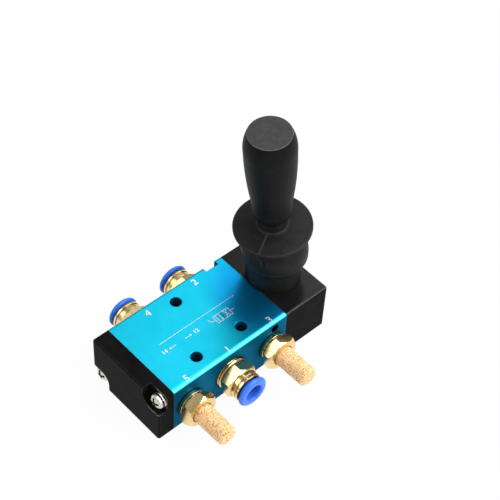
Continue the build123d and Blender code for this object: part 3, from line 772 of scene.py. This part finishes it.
def hump(distance, width):
    """Smooth hump of height 1 whose half width is about the width."""
    return math.exp(-(distance / width) ** 2)


def unrolled(angle, height):
    """Place on the bulge as if it were rolled out flat, in millimetres."""
    return Vector((angle % (2 * math.pi) * BOOT_BULGE[0], height))


def crease(angle, height, places, width):
    """Hump along the line through (degrees, millimetres) places on the bulge."""
    here = unrolled(angle, height / MM)
    nearest = math.inf
    for start, end in zip(places, places[1:]):
        first = unrolled(math.radians(start[0]), start[1])
        span = unrolled(math.radians(end[0]), end[1]) - first
        share = min(max((here - first).dot(span) / span.length_squared, 0), 1)
        nearest = min(nearest, (here - first - span * share).length)
    return hump(nearest, width)


def highlight_strip(kind, off):
    """Share of painted highlight at a distance in millimetres from a kind of line."""
    share, width = kind
    return share * hump(off, width)


def highlight_share(angle, reach, height, seam):
    """Share of painted highlight on the boot's raised lines, by place in millimetres before the bend."""
    shares = [seam]
    if height > BRIM_TOP - BRIM_HIGHLIGHT_DROP:
        across = reach - (RING[0] + RING_HIGHLIGHT_SHIFT[0])
        above = height - (RING[1] + RING_HIGHLIGHT_SHIFT[1])
        shares.append(highlight_strip(BRIM_HIGHLIGHT, reach - (BRIM_EDGE - BRIM_HIGHLIGHT_INSET)))
        shares.append(highlight_strip(RING_HIGHLIGHT, math.hypot(across, above)))
    if reach > SKIN_RADIUS and FOLDS_LOW < height < FOLDS_HIGH:
        shares.append(highlight_strip(RIDGE_HIGHLIGHT, height - (RIDGE_HEIGHT + RIDGE_HIGHLIGHT_RISE)))
        turn, lift = CREASE_HIGHLIGHT_SHIFT
        most, width = CREASE_HIGHLIGHT
        for places, _, _ in CREASES[:HIGHLIT_CREASES]:
            beside = [(degrees + turn, rise + lift) for degrees, rise in places]
            shares.append(most * crease(angle, height * MM, beside, width))
    return min(max(shares), 1.0)


def make_boot():
    """Rubber boot with a skirt, a bulge, a wide brim and a ribbed neck round the shank."""
    boot = turned("rubber_boot", boot_profile(), Matrix.Identity(4), BOOT_COLUMNS)
    # Painted highlight share on the seam, brim edge, ring, ridge and creases, for the rubber's colour
    painted_highlight = boot.data.attributes.new("painted_highlight", "FLOAT", "POINT")
    for vertex in boot.data.vertices:
        x, y, height = vertex.co
        angle = math.atan2(y, x)
        reach = math.hypot(x, y)
        outside = reach > SKIN_RADIUS * MM
        seam = 0.0
        if height > SEAM_LOW * MM and RING[0] * MM < reach < BRIM_EDGE * MM:
            off = (angle - SEAM_ANGLE + math.pi) % (2 * math.pi) - math.pi
            seam = hump(off * reach / MM, SEAM_WIDTH)
            height += SEAM_HEIGHT * MM * seam
        if height > (RING[1] + 0.6) * MM and reach > (NECK - 0.1) * MM:
            reach -= NECK_RIB_DEPTH * MM * max(math.cos(NECK_RIBS * angle), 0) ** 2
        if outside and FOLDS_LOW * MM < height < FOLDS_HIGH * MM:
            place = Vector((math.cos(angle), math.sin(angle), height / MM * WAVE_RISE))
            reach += WAVE_DEPTH * MM * noise.noise(place * WAVE_GRAIN)
            reach += RIDGE_DEPTH * MM * hump(height / MM - RIDGE_HEIGHT, RIDGE_WIDTH)
            for places, depth, width in CREASES:
                reach += depth * MM * crease(angle, height, places, width)
        share = highlight_share(angle, reach / MM, height / MM, SEAM_HIGHLIGHT * seam)
        painted_highlight.data[vertex.index].value = share
        tilt = REST_TILT * boot_bend(height)
        rise = height + TOP - PIVOT.z
        point = Vector((reach * math.cos(angle), reach * math.sin(angle), rise))
        vertex.co = PIVOT + Matrix.Rotation(tilt, 3, "Y") @ point
    smooth(boot, 50)
    finish_piece(boot, None, "boot_rubber", "dust_boot")
    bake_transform(boot)


# Ports: x, stand-off from the face and turn of the hexagon of each fitting; x and turn of each
# silencer. Lengths are in millimetres and turns in degrees
FRONT_FITTINGS = {"p": (0.0, 1.6, 36)}
BACK_FITTINGS = {"a": (-11.5, 0.1, 15), "b": (11.5, 0.1, 25)}
SILENCERS = {"r": (-18.5, 18), "s": (18.5, 38)}
HALF_FLATS = 6.0
BRASS_SHARP = 25

# Thread between the face and the hexagon
THREAD_RADIUS = 6.3
THREAD_FOOT = -1.0
THREAD_PITCH = 1.0
THREAD_DEPTH = 0.35
THREAD_STEPS = 16

# Fitting: heights are above the hexagon's foot; corners are (radius, height, round)
FITTING_HEXAGON = 4.4
FITTING_CHAMFERS = (0.7, 0.9)
FITTING_OUTSIDE = [
    (5.6, 4.4, 0.15), (5.6, 6.15, 0.08), (5.3, 6.3, 0.05), (5.3, 6.6, 0.05),
    (5.65, 6.75, 0.08), (5.65, 7.6, 0.15), (4.5, 7.6, 0.1),
]
FITTING_MOUTH = [(4.5, 0.6), (3.1, 0.6), (3.1, -2.0), (2.1, -2.0)]
FITTING_TAIL = [(2.1, -7.0), (6.0, -7.0)]
FITTING_EDGE = 0.12

# Release collar: heights are above its flange's foot
FITTING_LENGTH = 7.6
COLLAR_GAP = 0.7
COLLAR_LENGTH = 2.0
COLLAR_SLEEVE = 1.9

# Silencer base: collar corners, hexagon with its chamfers, and the inside
SILENCER_COLLAR = [
    (4.7, -6.0, 0), (4.7, 0.02, 0), (5.3, 0.02, 0.1), (5.3, 1.6, 0.2), (4.75, 1.65, 0.05),
    (4.7, 2.5, 0),
]
SILENCER_HEXAGON = (2.5, 6.3, 0.8, 1.15)
SILENCER_INSIDE = [
    (5.2, 6.4), (4.1, 6.4), (3.9, 6.15), (3.9, 3.85), (2.6, 3.85), (2.6, -6.0)]
SILENCER_EDGE = 0.14

# Sintered plug: foot, flank, eased edge and flat end, each with its steps, and its grains
PLUG_FOOT = [(0, 3.9), (3.85, 3.9)]
PLUG_RADIUS = 3.85
PLUG_TAPER = 0.15
PLUG_LOW = 4.0
PLUG_HIGH = 18.3
PLUG_STEPS = 110
PLUG_EDGE = 1.2
PLUG_EDGE_STEPS = 12
PLUG_END_STEPS = 14
GRAIN = 0.46
GRAIN_DEPTH = 0.10
GRAIN_FULLNESS = 2.2
GRAINS_LOW = 5.9
GRAINS_TURN = 18.0


def hexagon_reach(angle):
    """Radius of the hexagon's outline, with a corner at angle 0."""
    offset = angle % (math.pi / 3) - math.pi / 6
    return HALF_FLATS * MM / math.cos(offset)


def hexagon_stations(start, end, low_chamfer, high_chamfer):
    """Hexagon whose corners a cone turns off at both ends; the chamfers are heights at a corner."""
    flat = HALF_FLATS * MM
    span = flat / math.cos(math.pi / 6) - flat

    def lower(angle):
        return start * MM + (hexagon_reach(angle) - flat) / span * low_chamfer * MM

    def upper(angle):
        return end * MM - (hexagon_reach(angle) - flat) / span * high_chamfer * MM

    return [(flat, start * MM), (hexagon_reach, lower), (hexagon_reach, upper), (flat, end * MM)]


def thread_reach(height):
    """Radius of the thread at a height, in metres by the angle."""

    def reach(angle):
        phase = (height / THREAD_PITCH - angle / (2 * math.pi)) % 1
        return (THREAD_RADIUS - THREAD_DEPTH * abs(2 * phase - 1)) * MM

    return reach


def thread_stations(end):
    """Turns of the thread up to a height."""
    rise = end - THREAD_FOOT
    heights = [THREAD_FOOT + rise * step / THREAD_STEPS for step in range(THREAD_STEPS + 1)]
    return [(thread_reach(height), height * MM) for height in heights]


def make_fitting(name, place, base, turn):
    """Brass body of a push-in fitting: thread, hexagon, polished neck and end ring."""
    if base > 1:
        stations = thread_stations(base)
    else:
        stations = in_metres([(THREAD_RADIUS, THREAD_FOOT), (THREAD_RADIUS, base)])
    stations += hexagon_stations(base, base + FITTING_HEXAGON, *FITTING_CHAMFERS)
    stations += rounded([(radius, base + height, ease) for radius, height, ease in FITTING_OUTSIDE])
    stations += in_metres([(radius, base + height) for radius, height in FITTING_MOUTH])
    stations += in_metres(FITTING_TAIL)
    piece = turned(f"brass_fitting_{name}", stations, place, turn=math.radians(turn))
    smooth(piece, BRASS_SHARP)
    soften_edges(piece, FITTING_EDGE * MM, BRASS_SHARP)
    finish_piece(piece, "valve", "brass", f"fitting_body_{name}")


def make_collar(name, place, base):
    """Blue release collar: rounded flange, funnel mouth and sleeve."""
    low = base + FITTING_LENGTH + COLLAR_GAP
    top = low + COLLAR_LENGTH
    foot = low - COLLAR_SLEEVE
    stations = rounded([
        (4.2, foot, 0.1), (4.2, low, 0.15), (5.3, low, 0.5), (6.0, low + 0.6, 0.6),
        (6.0, low + 1.3, 0.7), (5.2, top, 0.5), (3.6, top, 0.3), (3.2, top - 0.6, 0.3),
        (3.15, foot, 0.1),
    ])
    piece = turned(f"blue_collar_{name}", stations, place)
    smooth(piece, 40)
    body = f"release_collar_{name}"
    finish_piece(piece, body, "blue_plastic", body)


def plug_profile():
    """Foot, tapered flank, eased edge and flat end of the sintered plug, in millimetres."""
    profile = list(PLUG_FOOT)
    for step in range(PLUG_STEPS + 1):
        share = step / PLUG_STEPS
        height = PLUG_LOW + (PLUG_HIGH - PLUG_LOW) * share
        profile.append((PLUG_RADIUS - PLUG_TAPER * share, height))
    end_radius = PLUG_RADIUS - PLUG_TAPER
    for step in range(1, PLUG_EDGE_STEPS + 1):
        around = math.pi / 2 * step / PLUG_EDGE_STEPS
        radius = end_radius - PLUG_EDGE * (1 - math.cos(around))
        profile.append((radius, PLUG_HIGH + PLUG_EDGE * math.sin(around)))
    for step in range(1, PLUG_END_STEPS + 1):
        radius = (end_radius - PLUG_EDGE) * (1 - step / PLUG_END_STEPS)
        profile.append((radius, PLUG_HIGH + PLUG_EDGE))
    return profile


def make_silencer(name, x, turn):
    """Brass base with a plain collar, an undercut and a hexagon, and its grainy bronze plug."""
    place = port_place(x, FRONT)
    stations = rounded(SILENCER_COLLAR) + hexagon_stations(*SILENCER_HEXAGON)
    stations += in_metres(SILENCER_INSIDE)
    base = turned(f"brass_silencer_{name}", stations, place, turn=math.radians(turn))
    smooth(base, BRASS_SHARP)
    soften_edges(base, SILENCER_EDGE * MM, BRASS_SHARP)
    finish_piece(base, "valve", "brass", f"silencer_base_{name}")
    plug = turned(
        f"bronze_element_{name}", in_metres(plug_profile()), Matrix.Identity(4), FINE_COLUMNS)
    for vertex in plug.data.vertices:
        distances, _ = noise.voronoi(vertex.co / (GRAIN * MM))
        dome = 1 - min(distances[0] ** 2 * GRAIN_FULLNESS, 1)
        past_turn = max(vertex.co.z - GRAINS_TURN * MM, 0)
        inward = Vector((vertex.co.x, vertex.co.y, past_turn))
        if vertex.co.z > GRAINS_LOW * MM and inward.length > 0:
            vertex.co -= inward.normalized() * GRAIN_DEPTH * MM * (1 - dome)
    plug.data.transform(place)
    smooth(plug, 180)
    finish_piece(plug, "valve", "sintered_bronze", f"silencer_element_{name}")


def make_ports():
    """Fittings with their collars, and silencers."""
    for fittings, face in ((FRONT_FITTINGS, FRONT), (BACK_FITTINGS, BACK)):
        for name, (x, base, turn) in fittings.items():
            make_fitting(name, port_place(x, face), base, turn)
            make_collar(name, port_place(x, face), base)
    for name, (x, turn) in SILENCERS.items():
        make_silencer(name, x, turn)


# Cap screws, in millimetres: a domed head with a cross recess, above a narrow neck at the washer
HEAD_HEIGHT = 2.3
HEAD_SIDE = 1.35
HEAD_NECK = 0.42
HEAD_FOOT_RADIUS = 2.5
HEAD_FOOT_RISE = 0.2
HEAD_STEPS = 44
NECK_RADIUS = 1.9
SHANK_RADIUS = 1.45
WASHER_GAP = 0.02
CROSS_WIDTH = 0.95
CROSS_LENGTH = 4.1
CROSS_DEPTH = 1.3
CROSS_TURN = math.radians(20)


def domed(radius):
    """Height of the screw's head at a radius."""
    share = min(radius / HEAD_RADIUS, 1)
    return HEAD_HEIGHT - (HEAD_HEIGHT - HEAD_SIDE) * share ** 3


def crossed(radius):
    """Height of the head round a circle, with the cross recess let in, in metres by the angle."""

    def height(angle):
        along = radius * math.cos(angle)
        across = radius * math.sin(angle)
        in_arm = min(abs(along), abs(across)) < CROSS_WIDTH / 2 and radius < CROSS_LENGTH / 2
        return (domed(radius) - (CROSS_DEPTH if in_arm else 0)) * MM

    return height


def make_cap_screws():
    """The end cap's two screws, in one piece of two separate solids."""
    low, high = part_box("end_cap_screws")
    seat = low.x + HEAD_HEIGHT * MM
    shank = high.x - seat
    stations = [(0, -shank), (SHANK_RADIUS * MM, -shank)] + in_metres([
        (SHANK_RADIUS, WASHER_GAP), (NECK_RADIUS, WASHER_GAP), (NECK_RADIUS, HEAD_NECK),
        (HEAD_FOOT_RADIUS, HEAD_NECK), (HEAD_RADIUS, HEAD_NECK + HEAD_FOOT_RISE),
    ])
    for step in range(HEAD_STEPS):
        radius = HEAD_RADIUS * (1 - step / HEAD_STEPS)
        stations.append((radius * MM, crossed(radius)))
    stations.append((0, (HEAD_HEIGHT - CROSS_DEPTH) * MM))
    inset = HEAD_RADIUS * MM
    shape = bmesh.new()
    for y, z in ((low.y + inset, high.z - inset), (high.y - inset, low.z + inset)):
        place = Matrix.Translation((seat, y, z)) @ Matrix.Rotation(-math.pi / 2, 4, "Y")
        screw = turned("screw", stations, place, FINE_COLUMNS, CROSS_TURN)
        shape.from_mesh(screw.data)
        bpy.data.objects.remove(screw)
    piece = new_object("cap_screws", mesh_of("cap_screws", shape))
    smooth(piece, 30)
    finish_piece(piece, "valve", "nickel_steel", "end_cap_screws")


# Marks etched into the top face: sizes in metres, then places in millimetres
MARK_THICKNESS = 0.02 * MM
BOLDER = 0.05 * MM
NUMBER_SIZE = 3.9 * MM
SMALL_SIZE = 2.2 * MM
PORT_NUMBERS = {
    "4": (-10.6, 14.0), "2": (10.8, 14.2), "5": (-18.5, -15.6), "1": (0.0, -15.5),
    "3": (19.4, -15.2),
}
LEVER_NUMBERS = {"14": (-16.9, -2.6), "12": (-3.0, -2.6)}
LEVER_ARROWS = [((-12.0, -2.6), (-15.0, -2.6)), ((-8.0, -2.6), (-5.0, -2.6))]
LEVER_ARROW_HEAD = 0.9
RULE = ((-16.6, 1.05), (17.3, 1.05))
RULE_WIDTH = 0.14
LINE_WIDTH = 0.2

# Symbol: two squares side by side, their arrows' lower and upper places, and the end lines
SYMBOL_LEFT = 5.2
SYMBOL_LOW = -4.9
SYMBOL_SIDE = 3.3
SYMBOL_NEAR = 0.9
SYMBOL_FAR = 2.4
SYMBOL_LINES = (1.5, 2.2, 1.8)
SYMBOL_ARROW_HEAD = 0.55
ARROW_HEAD_ANGLE = math.radians(28)


def etched_text(name, text, place, size):
    """Number lying on the top face."""
    curve = bpy.data.curves.new(name, "FONT")
    curve.body = text
    curve.size = size
    curve.align_x = "CENTER"
    curve.align_y = "CENTER"
    curve.extrude = MARK_THICKNESS
    curve.offset = BOLDER
    lettering = new_object(name, curve)
    lettering.location = (place[0] * MM, place[1] * MM, TOP)
    bpy.context.view_layer.update()
    graph = bpy.context.evaluated_depsgraph_get()
    mesh = bpy.data.meshes.new_from_object(lettering.evaluated_get(graph))
    mesh.transform(lettering.matrix_world)
    bpy.data.objects.remove(lettering)
    finish_piece(new_object(name, mesh), "valve", "anodised_body", material=ETCHED)


def etched_lines(name, strokes, width=LINE_WIDTH):
    """Thin bars on the top face, one for each (start, end) stroke in millimetres."""
    shape = bmesh.new()
    for (start_x, start_y), (end_x, end_y) in strokes:
        start = Vector((start_x * MM, start_y * MM, TOP))
        end = Vector((end_x * MM, end_y * MM, TOP))
        along = end - start
        across = Vector((-along.y, along.x, 0)).normalized() * width * MM / 2
        rise = Vector((0, 0, MARK_THICKNESS))
        corners = [start + across, start - across, end - across, end + across]
        bottom = [shape.verts.new(point - rise) for point in corners]
        top = [shape.verts.new(point + rise) for point in corners]
        shape.faces.new(top)
        shape.faces.new(bottom[::-1])
        for index in range(4):
            following = (index + 1) % 4
            shape.faces.new((bottom[index], bottom[following], top[following], top[index]))
    bmesh.ops.recalc_face_normals(shape, faces=shape.faces)
    piece = new_object(name, mesh_of(name, shape))
    finish_piece(piece, "valve", "anodised_body", material=ETCHED)


def square(x, y, side):
    """Strokes of a square from its lower left corner."""
    corners = [(x, y), (x + side, y), (x + side, y + side), (x, y + side)]
    return list(zip(corners, corners[1:] + corners[:1]))


def arrow(start, end, head):
    """Stroke with an arrow head at its end."""
    heading = math.atan2(end[1] - start[1], end[0] - start[0])
    strokes = [(start, end)]
    for side in (-1, 1):
        angle = heading + math.pi - side * ARROW_HEAD_ANGLE
        strokes.append((end, (end[0] + head * math.cos(angle), end[1] + head * math.sin(angle))))
    return strokes


def symbol_strokes():
    """Generic symbol of a two-position valve: straight flow, crossed flow and end lines."""
    left, low, side = SYMBOL_LEFT, SYMBOL_LOW, SYMBOL_SIDE
    high = low + side
    middle = low + side / 2
    arrows = [
        ((left + SYMBOL_NEAR, low), (left + SYMBOL_NEAR, high)),
        ((left + SYMBOL_FAR, high), (left + SYMBOL_FAR, low)),
        ((left + side + SYMBOL_NEAR, low), (left + side + SYMBOL_FAR, high)),
        ((left + side + SYMBOL_FAR, low), (left + side + SYMBOL_NEAR, high)),
    ]
    strokes = square(left, low, side) + square(left + side, low, side)
    for start, end in arrows:
        strokes += arrow(start, end, SYMBOL_ARROW_HEAD)
    stub, slant, tail = SYMBOL_LINES
    right = left + 2 * side
    strokes.append(((left - stub, middle), (left, middle)))
    strokes.append(((left - stub, middle), (left - slant, high)))
    strokes.append(((right, middle), (right + tail, middle)))
    return strokes


def make_marks():
    """Everything that is etched into the top face."""
    for text, place in PORT_NUMBERS.items():
        etched_text(f"port_number_{text}", text, place, NUMBER_SIZE)
    etched_lines("rule", [RULE], RULE_WIDTH)
    etched_lines("valve_symbol", symbol_strokes())
    arrows = [arrow(start, end, LEVER_ARROW_HEAD) for start, end in LEVER_ARROWS]
    etched_lines("lever_arrows", sum(arrows, []))
    for text, place in LEVER_NUMBERS.items():
        etched_text(f"lever_number_{text}", text, place, SMALL_SIZE)


# Studio: the floor's size, its depth below the part, and how white it is to the eye
FLOOR_SIZE = 3.0
FLOOR_DEPTH = 0.0002
FLOOR_GLOW = 0.96
FLOOR_GREY = 0.86
WORLD_GREY = 0.34

# Soft boxes: place and side in metres, and power in watts; all face one point
SOFT_BOXES = {
    "key": ((0.565, 0.05, 0.74), 0.85, 5.3),
    "left": ((-0.65, 0.15, 0.45), 0.5, 1.0),
    "back": ((-0.50, 0.42, 0.64), 0.5, 1.1),
    "front": ((0.36, -0.70, 0.58), 0.7, 7.6),
}
LIT_POINT = (0.0, 0.0, 0.03)

# Camera: where it stands, how it is turned, and its lens
CAMERA_PLACE = (-0.20135, -0.22254, 0.39775)
CAMERA_DOWN = math.radians(48.425)
CAMERA_HEADING = math.radians(-45.217)
CAMERA_ROLL = math.radians(3.86)
CAMERA_LENS = 101.08
SENSOR = 36.0


def make_floor():
    """Pale floor, white to the eye and plain to the light that it sends back."""
    half = FLOOR_SIZE / 2
    corners = [(-half, -half, 0), (half, -half, 0), (half, half, 0), (-half, half, 0)]
    mesh = bpy.data.meshes.new("floor")
    mesh.from_pydata(corners, [], [(0, 1, 2, 3)])
    floor = new_object("floor", mesh)
    floor.location.z = -FLOOR_DEPTH
    material = bpy.data.materials.new("floor_white")
    material.use_nodes = True
    tree = material.node_tree
    tree.nodes.clear()
    output = tree.nodes.new("ShaderNodeOutputMaterial")
    paint = tree.nodes.new("ShaderNodeBsdfDiffuse")
    paint.inputs["Color"].default_value = (FLOOR_GREY, FLOOR_GREY, FLOOR_GREY, 1)
    glow = tree.nodes.new("ShaderNodeEmission")
    glow.inputs["Color"].default_value = (1, 1, 1, 1)
    glow.inputs["Strength"].default_value = 1.0
    rays = tree.nodes.new("ShaderNodeLightPath").outputs
    seen = number_math(tree, "MAXIMUM", rays["Is Camera Ray"], rays["Is Transmission Ray"])
    seen = number_math(tree, "MAXIMUM", seen, rays["Is Glossy Ray"])
    mix = tree.nodes.new("ShaderNodeMixShader")
    tree.links.new(times(tree, seen, FLOOR_GLOW), mix.inputs["Fac"])
    tree.links.new(paint.outputs[0], mix.inputs[1])
    tree.links.new(glow.outputs[0], mix.inputs[2])
    tree.links.new(mix.outputs[0], output.inputs["Surface"])
    floor.data.materials.append(material)


def softbox(name, place, side, power):
    """Square lamp that faces the lit point."""
    lamp = bpy.data.lights.new(name, "AREA")
    lamp.shape = "RECTANGLE"
    lamp.size = side
    lamp.size_y = side
    lamp.energy = power
    holder = new_object(name, lamp)
    holder.location = place
    heading = Vector(LIT_POINT) - Vector(place)
    holder.rotation_euler = heading.to_track_quat("-Z", "Y").to_euler()


def make_lights():
    """Soft boxes over the lever, in front, to the left and behind, and a dim grey world."""
    for name, (place, side, power) in SOFT_BOXES.items():
        softbox(name, place, side, power)
    world = bpy.data.worlds.new("studio")
    world.use_nodes = True
    background = world.node_tree.nodes["Background"]
    background.inputs["Color"].default_value = (WORLD_GREY, WORLD_GREY, WORLD_GREY, 1)
    background.inputs["Strength"].default_value = 1.0
    bpy.context.scene.world = world


def make_camera():
    """Camera at the photograph's angle."""
    lens = bpy.data.cameras.new("camera")
    lens.sensor_width = SENSOR
    lens.lens = CAMERA_LENS
    camera = new_object("camera", lens)
    aim = Matrix.Rotation(CAMERA_HEADING, 4, "Z")
    aim = aim @ Matrix.Rotation(math.pi / 2 - CAMERA_DOWN, 4, "X")
    roll = Matrix.Rotation(CAMERA_ROLL, 4, "Z")
    camera.matrix_world = Matrix.Translation(CAMERA_PLACE) @ aim @ roll
    bpy.context.scene.camera = camera


make_camera()
dress_nodes()
make_knob()
make_boot()
make_ports()
make_cap_screws()
make_marks()
make_floor()
make_lights()
bpy.context.scene.view_settings.view_transform = "Standard"
